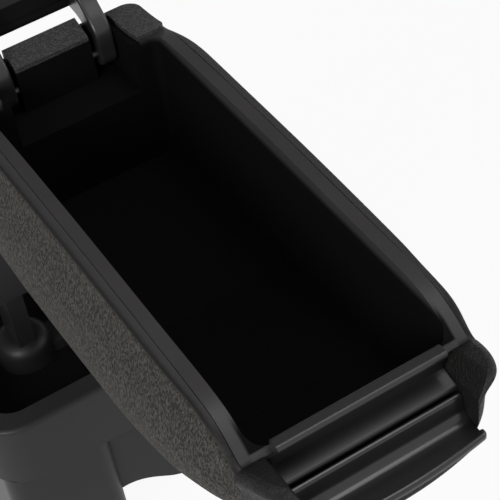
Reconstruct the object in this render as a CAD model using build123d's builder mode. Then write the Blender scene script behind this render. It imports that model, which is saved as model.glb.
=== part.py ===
import os
from math import cos, radians, sin

from build123d import *

os.makedirs("parts", exist_ok=True)

# Car centre armrest on its console base. Millimetres, +Z up, front of the armrest towards -Y.
# The origin lies on the plane of the base's feet, midway between its four bolt holes.

# Armrest body: lengthwise stations, heights and half widths
rim_z = 335.0
rim_front = -285.0
rim_half = 60.0
rim_thick = 2.5
rim_seat = 2.5
body_rear = 34.0
hull_pitch = 14.0
hull_round = 18.0
shoulder = 6.5
tail_round = 6.0
shell_wall = 3.0
front_gap = 0.4
parting_gap = 0.15
deck_back = 5.5
deck_corner = 24.0

# Storage bin
bin_half = 53.0
bin_wall = 2.5
bin_depth_front = 50.0
bin_depth_mid = 69.0
bin_depth_rear = 84.0
bin_rear = -12.0
bin_draft = 2.0
bin_corner = 9.5
hinge_bay_half = 37.5
hinge_bay_rear = 12.0
arm_pocket_inner = 23.0
arm_pocket_rear = 25.8
arm_pocket_depth = 36.0
boss_r = 4.5
tray_screw_x = 34.0
tray_screw_front = -190.0
tray_screw_rear = -125.0
tray_screw_long = 8.0
tray_screw_sink = 1.4

# Catch bar and ledge at the bin's front
bar_half = 44.5
bar_drop = 8.5
bar_deep = 4.0
bar_reach = 7.5
bar_round = 1.8
ledge_drop = 25.0
ledge_fall = 2.7
ledge_reach = 11.8
ledge_thick = 2.5
ledge_round = 1.2

# Front cap and grip
cheek_inner = 46.0
cheek_flare = 6.0
cheek_flare_drop = 24.0
cheek_top_drop = 8.0
cheek_wall = 2.5
cap_wall = 3.0
lip_half = 48.2
lip_corner = 3.0
lip_round = 1.9
lip_start = 27.6
lip_end_reach = 31.0
lip_seam = 0.15
strip_back = 1.5
lip_reach = 35.0
lip_drop = 43.7
lip_thick = 3.2
strip_tall = 9.1
strip_round = 5.0
ridge_drop = 30.0
ridge_back = 12.2
ridge_front = 15.4
ridge_round = 1.5
scoop_round = 5.5
side_play = 0.3

# Rear cover
cover_thick = 2.6
cover_seat = 0.1
cover_front = -11.5
cover_rear = 28.5
cover_half = 59.8
cover_corner_front = 5.0
cover_corner_rear = 9.0
cover_notch_half = 41.5
cover_mid_front = 12.5
cover_mid_half = 22.7
cover_hood_rise = 6.8
cover_hood_round = 1.5

# Lid, measured from its hinge pin: l runs along the lid to its front, n through it to its top
lid_open = 98.0
lid_pin_y = 16.0
lid_pin_z = 313.0
lid_pin_r = 2.5
lid_pin_hold = 2.4
lid_rear_l = 21.8
lid_half = 64.0
lid_corner = 16.0
lid_dip_from = 27.0
lid_dip_to = 8.0
lid_nose_from = 4.0
lid_reach = 23.0
panel_n = 23.8
panel_thick = 3.0
panel_front_n = 16.3
plug_n = 21.0
plug_half = 51.0
plug_rib = 3.0
plug_rear = 3.0
plug_front = 4.0
nose_top_n = 42.0
nose_wall = 2.5
nose_round = 12.0
pad_half = 65.5
pad_top_n = 50.0
pad_edge_n = 40.0
pad_round = 11.0
pad_gap = 0.2
liner_half = 45.0
liner_from = 38.0
liner_to = 266.0
liner_thick = 1.5
liner_gap = 0.6

# Hinge arms
arm_centre = 31.4
arm_wide = 10.6
arm_round = 2.0
arm_eye = 7.5
arm_foot_l = 84.0
arm_foot_thick = 4.0
pin_play = 0.05
pin_press = 0.02
arm_screw_near = arm_foot_l - 18.0
arm_screw_far = arm_foot_l - 6.0

# Latch on the lid's nose
latch_half = 20.0
latch_bay_half = 22.0
latch_forward = 14.0
latch_n = 30.0
latch_pin_r = 2.0
latch_hub = 4.2
latch_arm = 3.0
latch_tab_n = 2.0
latch_tab = 6.0
hook_gap = 0.6
hook_bite = 3.2
hook_thick = 3.0
spring_r = 2.9
spring_pitch = 2.0
spring_wire = 0.5
spring_half = 6.0
spring_bay_half = 7.5

# Tilt pivot
tilt_z = 205.0
pivot_y = 11.0
axle_r = 4.0
bush_wall = 1.5
upright_in = 60.0
upright_out = 71.0
upright_half = 12.0
washer_thick = 1.0
washer_r = 9.0
washer_play = 0.1
lug_thick = 4.5
lug_half = 14.0
buffer_thick = 2.5
buffer_half_x = 4.5
buffer_tall = 10.0
buffer_drop = 10.0
stop_gap = 0.3
stop_web = 4.2
stop_web_low = 13.0
plate_half_y = 24.0
plate_drop = 5.0
plate_screw_x = 35.0
plate_screw_y = 16.0
bridge_drop = 12.0
bridge_tall = 32.0
nut_flats = 13.0
nut_thick = 4.5
nut_gap = 0.4
axle_over = 1.0

# Console base
base_half = 122.0
base_deep = 65.0
base_top = 150.0
base_block = 47.0
base_rim = 14.0
base_recess = 25.0
base_corner = 28.0
recess_corner = 16.0
base_wall = 3.5
leg_in = 47.0
leg_out = 117.0
leg_back = 4.0
leg_corner = 12.0
foot_thick = 5.0
foot_flange = 16.0
skirt_back = 8.0
skirt_side_z = 39.5
skirt_mid_z = 21.0
pivot_boss_r = 18.0
pedestal_screw_side = 11.0
boss_tall = 20.0
boss_round = 9.0
strap_half = 10.0
strap_tall = 7.0
bolt_r = 2.75

# Screws
screw_r = 1.75
screw_head_r = 3.4
screw_head = 2.2
screw_bite = 9.0
screw_room = 0.3
bumper_r = 3.0
bumper_thick = 1.5
bumper_x = 56.5
bumper_near = 70.0
bumper_far = 250.0

# Rim's top line in side view: distance behind the rim's front end, height over the crown datum
rim_line = [
    (0.0, -14.5), (5.0, -10.5), (10.0, -7.3), (15.0, -4.7), (20.0, -2.7), (27.0, -1.2),
    (60.0, 0.2), (140.0, 1.2),
]
# Its rear part: distance ahead of the body's rear end, height over the crown datum
rim_line_rear = [
    (99.0, 0.2), (69.0, -1.2), (57.0, -2.2), (47.0, -3.8), (38.0, -6.0), (24.0, -8.4), (-4.0, -11.0),
]
rim_pts = [(rim_front + a, rim_z + b) for a, b in rim_line]
rim_pts = rim_pts + [(body_rear - a, rim_z + b) for a, b in rim_line_rear]

# The same line run on ahead of the rim's front end
rim_run = [(rim_front - 20.0, rim_pts[0][1] - 9.0)] + rim_pts

# Hull sections: station, half width at the top edge, bulge beyond it, depth below the crown datum
hull_front = [
    (-2.0, 64.8, -2.3, 61.0), (12.0, 65.2, 1.8, 66.0), (30.0, 65.2, 6.3, 73.0), (60.0, 66.1, 8.9, 83.0),
    (110.0, 66.4, 10.3, 92.0),
]
hull_rear = [
    (109.0, 66.7, 10.3, 98.0), (76.0, 67.0, 9.5, 98.6), (60.0, 65.8, 10.2, 99.0), (48.0, 63.8, 11.6, 99.0),
    (36.0, 62.2, 11.5, 99.0), (26.0, 61.3, 10.7, 98.5), (14.0, 59.0, 8.5, 97.5), (7.0, 55.5, 7.0, 96.0),
    (2.5, 49.5, 4.5, 93.0), (0.0, 43.0, 1.0, 89.0),
]
hull_nose = [
    (-27.0, 54.5, -8.0, 56.0), (-24.5, 58.0, -7.0, 56.4), (-18.0, 61.3, -4.8, 57.5),
    (-10.0, 63.2, -3.2, 59.0),
    (-2.0, 64.8, -2.3, 61.0), (12.0, 65.2, 1.8, 66.0),
]
hull_keys = [(rim_front + a, t, b, d) for a, t, b, d in hull_front]
hull_keys = hull_keys + [(body_rear - a, t, b, d) for a, t, b, d in hull_rear]
nose = [(rim_front + a, t, b, d) for a, t, b, d in hull_nose]


def carried(rows, column, y):
    # One size of the sections at a station, carried smoothly between the given rows without overshoot
    ys = [row[0] for row in rows]
    vs = [row[column] for row in rows]
    steps = [(v2 - v1) / (y2 - y1) for y1, y2, v1, v2 in zip(ys, ys[1:], vs, vs[1:])]
    slopes = [steps[0]]
    for before, after in zip(steps, steps[1:]):
        slopes.append(2 * before * after / (before + after) if before * after > 0 else 0.0)
    slopes.append(steps[-1])
    k = max(i for i in range(len(ys) - 1) if ys[i] <= y or i == 0)
    span = ys[k + 1] - ys[k]
    u = (y - ys[k]) / span
    return (
        vs[k] * (1 + 2 * u) * (1 - u) ** 2 + slopes[k] * span * u * (1 - u) ** 2
        + vs[k + 1] * u * u * (3 - 2 * u) + slopes[k + 1] * span * u * u * (u - 1)
    )


hull_count = round((body_rear - hull_round - hull_keys[0][0]) / hull_pitch)
hull_step = (body_rear - hull_round - hull_keys[0][0]) / hull_count
hull_stations = [hull_keys[0][0] + i * hull_step for i in range(hull_count + 1)]
hull_stations = hull_stations + [body_rear - hull_round * k for k in (0.72, 0.5, 0.33, 0.2, 0.1, 0.03, 0.0)]
hull = [(y,) + tuple(carried(hull_keys, c, y) for c in (1, 2, 3)) for y in hull_stations]
tail_fall = [max(0.0, y - body_rear + tail_round) for y in hull_stations]
hull_tops = [
    carried(rim_run, 1, y) - tail_round + (tail_round ** 2 - min(f, tail_round) ** 2) ** 0.5
    for y, f in zip(hull_stations, tail_fall)
]
shell_front = hull[0][0]
cap_back = shell_front - front_gap
cap_front = nose[0][0]
hull_low = max(d for y, t, b, d in hull)

# Top line of the front cheeks in side view
cheek_line = [(-2.0, -15.5), (-10.0, -11.8), (-19.0, -9.6), (-24.5, -9.2), (-30.0, -9.8)]
cheek_pts = [(rim_front + a, rim_z + b) for a, b in cheek_line]
cheek_run = [(-y, z) for y, z in cheek_pts]
nose_tops = [carried(cheek_run, 1, -y) + 0.5 for y, t, b, d in nose]

# The lid's own directions in its open rest position
lid_l = (0, -cos(radians(lid_open)), sin(radians(lid_open)))
lid_n = (0, sin(radians(lid_open)), cos(radians(lid_open)))
lid_side = Plane(origin=(0, lid_pin_y, lid_pin_z), x_dir=lid_l, z_dir=(-1, 0, 0))
lid_flat = Plane(origin=(0, lid_pin_y, lid_pin_z), x_dir=(-1, 0, 0), z_dir=lid_n)
lid_cross = Plane(origin=(0, lid_pin_y, lid_pin_z), x_dir=(-1, 0, 0), z_dir=(0, -lid_l[1], -lid_l[2]))
bin_front_l = lid_pin_y - rim_front
dip_l0 = bin_front_l - lid_dip_from
dip_l1 = bin_front_l - lid_dip_to
nose_l = bin_front_l + lid_nose_from
lid_front_l = bin_front_l + lid_reach
latch_l = bin_front_l + latch_forward


def cross_plane(y):
    return Plane(origin=(0, y, 0), x_dir=(1, 0, 0), z_dir=(0, -1, 0))


def hull_face(t, b, d, level):
    # Closed hull section: rounded shoulder below the given level, curved sides and underside
    top = level - rim_z
    low = top - shoulder
    side = 0.70 * d + low
    half = [
        (t - 1.4 * shoulder, top + 1.8), (t - shoulder, top + 0.2),
        (t - 0.5 * shoulder, top - 0.16 * shoulder),
        (t - 0.13 * shoulder, top - 0.5 * shoulder), (t, low), (t + 0.4 * b, low - 0.20 * side),
        (t + b, low - 0.56 * side), (t + b - 1.5, -0.70 * d), (t + b - 9.0, -0.90 * d),
        (t + b - 22.0, -0.977 * d), ((t + b - 22.0) / 2, -0.997 * d), (0.0, -d),
    ]
    round_trip = half + [(-x, z) for x, z in reversed(half[:-1])]
    with BuildSketch() as section:
        with BuildLine():
            skin = Spline([(x, rim_z + z) for x, z in round_trip])
            Line(skin @ 1, skin @ 0)
        make_face()
    return section.sketch


def hollow_face(t, b, d, w):
    # Section of the space inside a hull wall, narrowed above to the ledge under the rim
    ledge = min(rim_half - rim_seat, t - rim_seat - w)
    half = [
        (ledge, 8.0), (ledge, -7.0), (ledge + 0.6, -16.0), (t + 0.5 * b - w, -0.26 * d - 4.0),
        (t + b - w, -0.44 * d),
        (t + b - 1.5 - w, -0.70 * d + 1.0), (t + b - 9.0 - w, -0.90 * d + 2.4),
        (t + b - 22.0 - w, -0.977 * d + w), ((t + b - 22.0 - w) / 2, -0.997 * d + w), (0.0, -d + w),
    ]
    with BuildSketch() as section:
        with BuildLine():
            right = Spline([(x, rim_z + z) for x, z in half], tangents=[(0, -1), (-1, 0)])
            left = Spline([(-x, rim_z + z) for x, z in half], tangents=[(0, -1), (1, 0)])
            Line(left @ 0, right @ 0)
        make_face()
    return section.sketch


def above_line(points, drop, top):
    # Side view region between a line lowered by drop and a level above it
    with BuildSketch() as region:
        with BuildLine():
            low = Spline([(y, z - drop) for y, z in points])
            Polyline(low @ 1, (points[-1][0], top), (points[0][0], top), low @ 0)
        make_face()
    return region.sketch


def line_band(points, low_drop, high_drop):
    # Side view band between two lowered copies of a line
    with BuildSketch() as band:
        with BuildLine():
            high = Spline([(y, z - high_drop) for y, z in points])
            low = Spline([(y, z - low_drop) for y, z in points])
            Line(high @ 0, low @ 0)
            Line(high @ 1, low @ 1)
        make_face()
    return band.sketch


# Working solids: the hull's outside, the hollow inside the shell and the rim's plate
with BuildPart() as hull_solid:
    for (y, t, b, d), level in zip(hull, hull_tops):
        with BuildSketch(cross_plane(y)):
            add(hull_face(t, b, d, level))
    loft()

hollow_rows = [(shell_front - 4.0,) + hull[0][1:]]
hollow_rows = hollow_rows + [(y - shell_wall * max(0.0, (y - bin_rear) / (body_rear - bin_rear)), t, b, d)
                             for y, t, b, d in hull[:-1]]
with BuildPart() as hull_hollow:
    for y, t, b, d in hollow_rows:
        with BuildSketch(cross_plane(y)):
            add(hollow_face(t, b, d, shell_wall))
    loft()

deck_rear = body_rear - deck_back
with BuildPart() as rim_space:
    with BuildSketch(Plane.YZ):
        add(above_line(rim_run, rim_thick, rim_z + 20.0))
    extrude(amount=rim_half + parting_gap, both=True)
    with BuildSketch(Plane.XY.offset(rim_z - 60.0)) as seat_plan:
        with Locations((0, (rim_front - 30.0 + deck_rear) / 2)):
            Rectangle(2 * (rim_half + parting_gap), deck_rear - rim_front + 30.0)
        fillet(seat_plan.vertices().group_by(Axis.Y)[-1], deck_corner)
    extrude(amount=100.0, mode=Mode.INTERSECT)


tray_screw_spots = [
    (x, y, rim_z - carried(hull_keys, 3, y) + tray_screw_sink)
    for x in (-tray_screw_x, tray_screw_x) for y in (tray_screw_front, tray_screw_rear)
]
plate_low = rim_z - hull_low - plate_drop
plate_spots = [
    (x, y) for x in (-plate_screw_x, plate_screw_x) for y in (-plate_screw_y, plate_screw_y)
]
bin_bottom = rim_z - bin_depth_rear - bin_wall

# Working solid: bosses on the shell's floor for the tilt bracket's screws
with BuildPart() as bracket_bosses:
    with BuildSketch(Plane.XY.offset(plate_low)):
        with Locations(*plate_spots):
            Circle(boss_r)
    extrude(amount=bin_bottom - 1.0 - plate_low)
    add(hull_solid.part, mode=Mode.INTERSECT)

# Outer shell: grained bulged body, open on top, with a seat for the tray's rim
with BuildPart() as outer_shell:
    add(hull_solid.part)
    with BuildSketch(Plane.YZ):
        add(above_line(rim_run, 0.0, rim_z + 20.0))
    extrude(amount=rim_half + parting_gap, both=True, mode=Mode.SUBTRACT)
    add(hull_hollow.part, mode=Mode.SUBTRACT)
    add(rim_space.part, mode=Mode.SUBTRACT)
    add(bracket_bosses.part)
    with BuildSketch(Plane.XY.offset(plate_low)):
        with Locations(*plate_spots):
            Circle(screw_r + pin_play)
    extrude(amount=plate_drop + screw_bite + screw_room, mode=Mode.SUBTRACT)
    # Seats and holes for the tray's screws
    with Locations(*tray_screw_spots):
        Cylinder(screw_head_r + screw_room, 12.0, align=(Align.CENTER, Align.CENTER, Align.MAX),
            mode=Mode.SUBTRACT)
        Cylinder(screw_r + pin_play, 8.0, align=(Align.CENTER, Align.CENTER, Align.MIN), mode=Mode.SUBTRACT)
outer_shell.part.label = "outer_shell"
export_step(outer_shell.part, "parts/outer_shell.step")


def floor_region(lower):
    # Side view region above the bin's sloped floor
    front = rim_front - 30.0
    rear = bin_rear + 30.0
    with BuildSketch() as region:
        with BuildLine():
            Polyline(
                (front, rim_z - bin_depth_front - lower),
                (rim_front + 6.0, rim_z - bin_depth_front - lower),
                (rim_front + 60.0, rim_z - bin_depth_mid - lower),
                (rim_front + 150.0, rim_z - bin_depth_rear - lower),
                (rear, rim_z - bin_depth_rear - lower), (rear, rim_z + 20.0),
                (front, rim_z + 20.0), close=True,
            )
        make_face()
    return region.sketch


def bin_outline(grow):
    # Plan of the bin, rounder at the front
    with BuildSketch() as outline:
        with Locations((0, (rim_front + bin_rear) / 2)):
            Rectangle(2 * (bin_half + grow), bin_rear - rim_front + 2 * grow)
        fillet(outline.vertices().group_by(Axis.Y)[0], bin_corner + grow)
        fillet(outline.vertices().group_by(Axis.Y)[-1], 6.0 + grow)
    return outline.sketch


# Working solids: the bin's inside and outside, and the tray's bosses on the shell
with BuildPart() as bin_inside:
    with BuildSketch(Plane.XY.offset(rim_z + 6.0)):
        add(bin_outline(0.0))
    extrude(amount=-bin_depth_rear - 6.0, taper=bin_draft)
    with BuildSketch(Plane.YZ):
        add(floor_region(0.0))
    extrude(amount=2 * bin_half, both=True, mode=Mode.INTERSECT)

with BuildPart() as bin_outside:
    with BuildSketch(Plane.XY.offset(rim_z + 6.0)):
        add(bin_outline(bin_wall))
    extrude(amount=-bin_depth_rear - bin_wall - 6.0, taper=bin_draft)
    with BuildSketch(Plane.YZ):
        add(floor_region(bin_wall))
    extrude(amount=2 * bin_half, both=True, mode=Mode.INTERSECT)

with BuildPart() as tray_bosses:
    with Locations(*[(x, y, rim_z - hull_low) for x, y, z in tray_screw_spots]):
        Cylinder(boss_r, hull_low - bin_depth_mid - 4.0, align=(Align.CENTER, Align.CENTER, Align.MIN))
    add(hull_hollow.part, mode=Mode.INTERSECT)

with BuildPart() as rim_plate:
    with BuildSketch(Plane.YZ):
        add(line_band(rim_run, rim_thick, 0.0))
    extrude(amount=rim_half - parting_gap, both=True)
    with BuildSketch(Plane.XY.offset(rim_z - 60.0)) as rim_plan:
        with Locations((0, (shell_front + deck_rear - 2 * parting_gap) / 2)):
            Rectangle(2 * (rim_half - parting_gap), deck_rear - 2 * parting_gap - shell_front)
        fillet(rim_plan.vertices().group_by(Axis.Y)[-1], deck_corner)
    extrude(amount=100.0, mode=Mode.INTERSECT)

# Storage tray: bin, flat rim, hinge bay with its two arm pockets, catch bar and ledge
pocket_low = rim_z - arm_pocket_depth
house_half = hinge_bay_half + bin_wall
house_rear = arm_pocket_rear + bin_wall
bar_low = rim_z - bar_drop - bar_deep
wall_top = rim_z + rim_line[0][1] - 3.0
with BuildPart() as storage_tray:
    add(bin_outside.part)
    with Locations((0, (bin_rear - 4.0 + house_rear) / 2, pocket_low - bin_wall)):
        Box(2 * house_half, house_rear - bin_rear + 4.0, 60.0,
            align=(Align.CENTER, Align.CENTER, Align.MIN))
    with BuildSketch(Plane.YZ):
        add(above_line(rim_run, rim_thick / 2, rim_z + 80.0))
    extrude(amount=2 * rim_half, both=True, mode=Mode.SUBTRACT)
    add(rim_plate.part)
    add(tray_bosses.part)
    add(bin_inside.part, mode=Mode.SUBTRACT)
    # Hinge bay and arm pockets
    with Locations((0, (bin_rear - 20.0 + hinge_bay_rear) / 2, pocket_low)):
        Box(2 * hinge_bay_half, hinge_bay_rear - bin_rear + 20.0, 60.0,
            align=(Align.CENTER, Align.CENTER, Align.MIN), mode=Mode.SUBTRACT)
    pocket_mid = (arm_pocket_inner + hinge_bay_half) / 2
    with Locations((pocket_mid, 0, pocket_low), (-pocket_mid, 0, pocket_low)):
        Box(hinge_bay_half - arm_pocket_inner, 2 * arm_pocket_rear, 60.0,
            align=(Align.CENTER, Align.CENTER, Align.MIN), mode=Mode.SUBTRACT)
    # Space below the middle block, between the pockets
    with Locations((0, hinge_bay_rear + bin_wall, pocket_low - bin_wall)):
        Box(2 * (arm_pocket_inner - bin_wall), house_rear - bin_wall - hinge_bay_rear - bin_wall,
            arm_pocket_depth - 14.0, align=(Align.CENTER, Align.MIN, Align.MIN), mode=Mode.SUBTRACT)
    # Holes for the lid's hinge pins
    with BuildSketch(Plane.YZ.offset(arm_pocket_inner - lid_pin_hold)):
        with Locations((lid_pin_y, lid_pin_z)):
            Circle(lid_pin_r + pin_press)
    extrude(amount=hinge_bay_half - arm_pocket_inner + 2 * lid_pin_hold, mode=Mode.SUBTRACT)
    with BuildSketch(Plane.YZ.offset(-arm_pocket_inner + lid_pin_hold)):
        with Locations((lid_pin_y, lid_pin_z)):
            Circle(lid_pin_r + pin_press)
    extrude(amount=-hinge_bay_half + arm_pocket_inner - 2 * lid_pin_hold, mode=Mode.SUBTRACT)
    # Catch bar over the front wall, and the ledge ahead of the wall
    with BuildSketch(Plane.YZ) as bar_side:
        with BuildLine():
            Polyline(
                (rim_front, wall_top), (rim_front, rim_z - bar_drop),
                (rim_front - bar_reach, rim_z - bar_drop),
                (rim_front - bar_reach, bar_low), (rim_front - bin_wall, bar_low),
                (rim_front - bin_wall, wall_top),
                close=True,
            )
        make_face()
        fillet(bar_side.vertices().group_by(Axis.X)[0], bar_round)
        fillet(bar_side.vertices().group_by(Axis.X)[-1].sort_by(Axis.Y)[-1], bar_round)
    extrude(amount=bar_half, both=True)
    with BuildSketch(Plane.YZ) as ledge_side:
        with BuildLine():
            Polyline(
                (rim_front, rim_z - ledge_drop), (rim_front - ledge_reach, rim_z - ledge_drop - ledge_fall),
                (rim_front - ledge_reach, rim_z - ledge_drop - ledge_fall - ledge_thick),
                (rim_front, rim_z - ledge_drop - ledge_thick), close=True,
            )
        make_face()
        fillet(ledge_side.vertices().group_by(Axis.X)[0].sort_by(Axis.Y)[-1], ledge_round)
    extrude(amount=cheek_inner - side_play, both=True)
    # Screw holes in the bosses that stand on the shell's floor
    with Locations(*tray_screw_spots):
        Cylinder(screw_r + pin_play, tray_screw_long + screw_room,
                 align=(Align.CENTER, Align.CENTER, Align.MIN), mode=Mode.SUBTRACT)
storage_tray.part.label = "storage_tray"
export_step(storage_tray.part, "parts/storage_tray.step")

# Front cap: grained cheeks at the corners and the strip that joins them below the grip
lip_low = rim_z - lip_drop - lip_thick
strip_top = lip_low - lip_seam
strip_low = strip_top - strip_tall
with BuildPart() as front_cap:
    for (y, t, b, d), level in zip(nose, nose_tops):
        with BuildSketch(cross_plane(y)):
            add(hull_face(t, b, d, level))
    loft()
    with Locations((0, cap_back, rim_z - 40.0)):
        Box(400.0, 100.0, 200.0, align=(Align.CENTER, Align.MIN, Align.CENTER), mode=Mode.SUBTRACT)
    with BuildSketch(Plane.YZ):
        add(above_line(cheek_pts, 0.0, rim_z + 40.0))
    extrude(amount=2 * rim_half, both=True, mode=Mode.SUBTRACT)
    # Space for the grip, and the floor pan behind the strip
    flare_low = rim_z - cheek_flare_drop
    flare_top = rim_z - cheek_top_drop
    cheek_top = cheek_inner + cheek_flare
    with BuildSketch(Plane.XZ.offset(-rim_front)):
        with BuildLine():
            Polyline(
                (-cheek_inner, strip_top), (cheek_inner, strip_top), (cheek_inner, flare_low),
                (cheek_top, flare_top),
                (cheek_top, rim_z + 40.0), (-cheek_top, rim_z + 40.0), (-cheek_top, flare_top),
                (-cheek_inner, flare_low), close=True,
            )
        make_face()
    extrude(amount=60.0, both=True, mode=Mode.SUBTRACT)
    pan_front = cap_front + cap_wall
    with BuildSketch(Plane.YZ):
        with BuildLine():
            Polyline(
                (pan_front, rim_z - nose[0][3] + cap_wall),
                (cap_back + 1.0, rim_z - nose[-2][3] + cap_wall),
                (cap_back + 1.0, strip_top + 1.0), (pan_front, strip_top + 1.0), close=True,
            )
        make_face()
    extrude(amount=cheek_inner - 9.0, both=True, mode=Mode.SUBTRACT)
    # Pockets inside the cheeks, open at the back
    cheek_in = cheek_inner + cheek_wall
    cheek_out = nose[3][1] + nose[3][2] - 2 * cap_wall
    pocket_base = rim_z - 0.72 * nose[3][3]
    with Locations(((cheek_in + cheek_out) / 2, nose[3][0], pocket_base),
                   (-(cheek_in + cheek_out) / 2, nose[3][0], pocket_base)):
        Box(cheek_out - cheek_in, 40.0, flare_low - cheek_wall - pocket_base,
            align=(Align.CENTER, Align.MIN, Align.MIN), mode=Mode.SUBTRACT)
    # Bowed strip under the lip
    with BuildSketch(Plane.XY.offset(strip_low)) as strip_plan:
        with BuildLine():
            bow = ThreePointArc(
                (-cheek_inner, rim_front - lip_start), (0, rim_front - lip_reach + strip_back),
                (cheek_inner, rim_front - lip_start),
            )
            Polyline(bow @ 1, (cheek_inner, pan_front), (-cheek_inner, pan_front), bow @ 0)
        make_face()
    extrude(amount=strip_tall)
    strip_edge = front_cap.edges().filter_by(GeomType.CIRCLE).group_by(Axis.Z)[0].sort_by(SortBy.LENGTH)[-1]
    fillet(strip_edge, strip_round)
front_cap.part.label = "front_cap"
export_step(front_cap.part, "parts/front_cap.step")

# Front grip: smooth ridge, finger wall and bowed lip between the cheeks
grip_half = cheek_inner - side_play
with BuildPart() as front_grip:
    with BuildSketch(Plane.YZ) as grip_side:
        with BuildLine():
            Polyline(
                (rim_front - ridge_back, rim_z - ridge_drop),
                (rim_front - ridge_front, rim_z - ridge_drop - 1.0),
                (rim_front - ridge_front - 1.6, rim_z - lip_drop),
                (rim_front - lip_reach - 1.0, rim_z - lip_drop),
                (rim_front - lip_reach - 1.0, lip_low), (rim_front - ridge_back, lip_low), close=True,
            )
        make_face()
        fillet(grip_side.vertices().sort_by(Axis.Y)[-2:], ridge_round)
        fillet(grip_side.vertices().group_by(Axis.Y)[1].sort_by(Axis.X)[-1], scoop_round)
    extrude(amount=lip_half, both=True)
    with BuildSketch(Plane.XY.offset(lip_low - 5.0)) as lip_plan:
        with BuildLine():
            brow = ThreePointArc(
                (-lip_half, rim_front - lip_end_reach), (0, rim_front - lip_reach),
                (lip_half, rim_front - lip_end_reach),
            )
            Polyline(
                brow @ 1, (lip_half, rim_front - lip_start), (grip_half, rim_front - lip_start),
                (grip_half, rim_front),
                (-grip_half, rim_front), (-grip_half, rim_front - lip_start),
                (-lip_half, rim_front - lip_start), brow @ 0,
            )
        make_face()
        fillet(lip_plan.vertices().group_by(Axis.Y)[0], lip_corner)
    extrude(amount=60.0, mode=Mode.INTERSECT)
    lip_edges = front_grip.edges().filter_by(GeomType.CIRCLE).sort_by(SortBy.LENGTH)[-2:]
    fillet(lip_edges.sort_by(Axis.Z)[-1], lip_round)
front_grip.part.label = "front_grip"
export_step(front_grip.part, "parts/front_grip.step")

# Rear cover: grained layer on the deck behind the bin, notched for the hinge arms
with BuildPart() as rear_cover:
    with BuildSketch(Plane.YZ):
        add(line_band(rim_run, -cover_seat, -cover_thick))
    extrude(amount=cover_half, both=True)
    with BuildSketch(Plane.XY.offset(rim_z - 60.0)) as cover_plan:
        with Locations((0, (cover_front + cover_rear) / 2)):
            Rectangle(2 * cover_half, cover_rear - cover_front)
        fillet(cover_plan.vertices().group_by(Axis.Y)[0], cover_corner_front)
        fillet(cover_plan.vertices().group_by(Axis.Y)[-1], cover_corner_rear)
    extrude(amount=100.0, mode=Mode.INTERSECT)
    # Hollow hood in the middle, seated on the deck and rising to the rear
    hood_front_z = carried(rim_run, 1, cover_mid_front) + cover_thick
    hood_rear_z = carried(rim_run, 1, cover_rear) + cover_thick + cover_hood_rise
    with BuildSketch(Plane.YZ) as hood_side:
        with BuildLine():
            Polyline(
                (cover_mid_front, hood_front_z), (cover_rear, hood_rear_z),
                (cover_rear, rim_z - 60.0), (cover_mid_front, rim_z - 60.0), close=True,
            )
        make_face()
        add(above_line(rim_run, -cover_seat, rim_z + 20.0), mode=Mode.INTERSECT)
        fillet(hood_side.vertices().sort_by(Axis.Y)[-1], cover_hood_round)
    extrude(amount=cover_mid_half, both=True)
    with BuildSketch(Plane.YZ):
        with BuildLine():
            Polyline(
                (cover_mid_front + cover_thick, hood_front_z - cover_thick / 2),
                (cover_rear - cover_thick, hood_rear_z - cover_thick),
                (cover_rear - cover_thick, rim_z - 60.0),
                (cover_mid_front + cover_thick, rim_z - 60.0), close=True,
            )
        make_face()
    extrude(amount=cover_mid_half - cover_thick, both=True, mode=Mode.SUBTRACT)
    with Locations((0, cover_mid_front, rim_z)):
        Box(2 * cover_notch_half, 400.0, 60.0, align=(Align.CENTER, Align.MAX, Align.CENTER),
            mode=Mode.SUBTRACT)
    notch_mid = (cover_mid_half + cover_notch_half) / 2
    with Locations((notch_mid, arm_pocket_rear, rim_z), (-notch_mid, arm_pocket_rear, rim_z)):
        Box(cover_notch_half - cover_mid_half, 100.0, 60.0,
            align=(Align.CENTER, Align.MAX, Align.CENTER), mode=Mode.SUBTRACT)
rear_cover.part.label = "rear_cover"
export_step(rear_cover.part, "parts/rear_cover.step")

# Lid hinge pins across the arm pockets
pin_long = hinge_bay_half - arm_pocket_inner + 2 * lid_pin_hold
with BuildPart() as lid_hinge_pin_left:
    with BuildSketch(Plane.YZ.offset(-arm_pocket_inner + lid_pin_hold)):
        with Locations((lid_pin_y, lid_pin_z)):
            Circle(lid_pin_r)
    extrude(amount=-pin_long)
lid_hinge_pin_left.part.label = "lid_hinge_pin_left"
export_step(lid_hinge_pin_left.part, "parts/lid_hinge_pin_left.step")

with BuildPart() as lid_hinge_pin_right:
    with BuildSketch(Plane.YZ.offset(arm_pocket_inner - lid_pin_hold)):
        with Locations((lid_pin_y, lid_pin_z)):
            Circle(lid_pin_r)
    extrude(amount=pin_long)
lid_hinge_pin_right.part.label = "lid_hinge_pin_right"
export_step(lid_hinge_pin_right.part, "parts/lid_hinge_pin_right.step")


def arm_profile():
    # Gooseneck arm in side view: eye round the pin, bent neck, foot under the lid panel
    foot_n = panel_n - arm_foot_thick
    with BuildSketch() as profile:
        with BuildLine():
            neck = Spline(
                (0, -arm_eye), (9.0, -8.3), (17.7, -7.0), (25.5, -1.6), (35.3, 6.5), (46.0, 14.0),
                (58.0, foot_n),
                tangents=[(1, 0), (1, 0)],
            )
            heel = Polyline(
                neck @ 1, (arm_foot_l, foot_n), (arm_foot_l, panel_n), (lid_rear_l + 1.0, panel_n),
                (20.5, 14.0),
                (18.0, 9.4), (16.2, 7.25), (7.0, 7.3), (0, arm_eye),
            )
            ThreePointArc(heel @ 1, (-arm_eye, 0), neck @ 0)
        make_face()
        Circle(lid_pin_r + pin_play, mode=Mode.SUBTRACT)
    return profile.sketch


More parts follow.
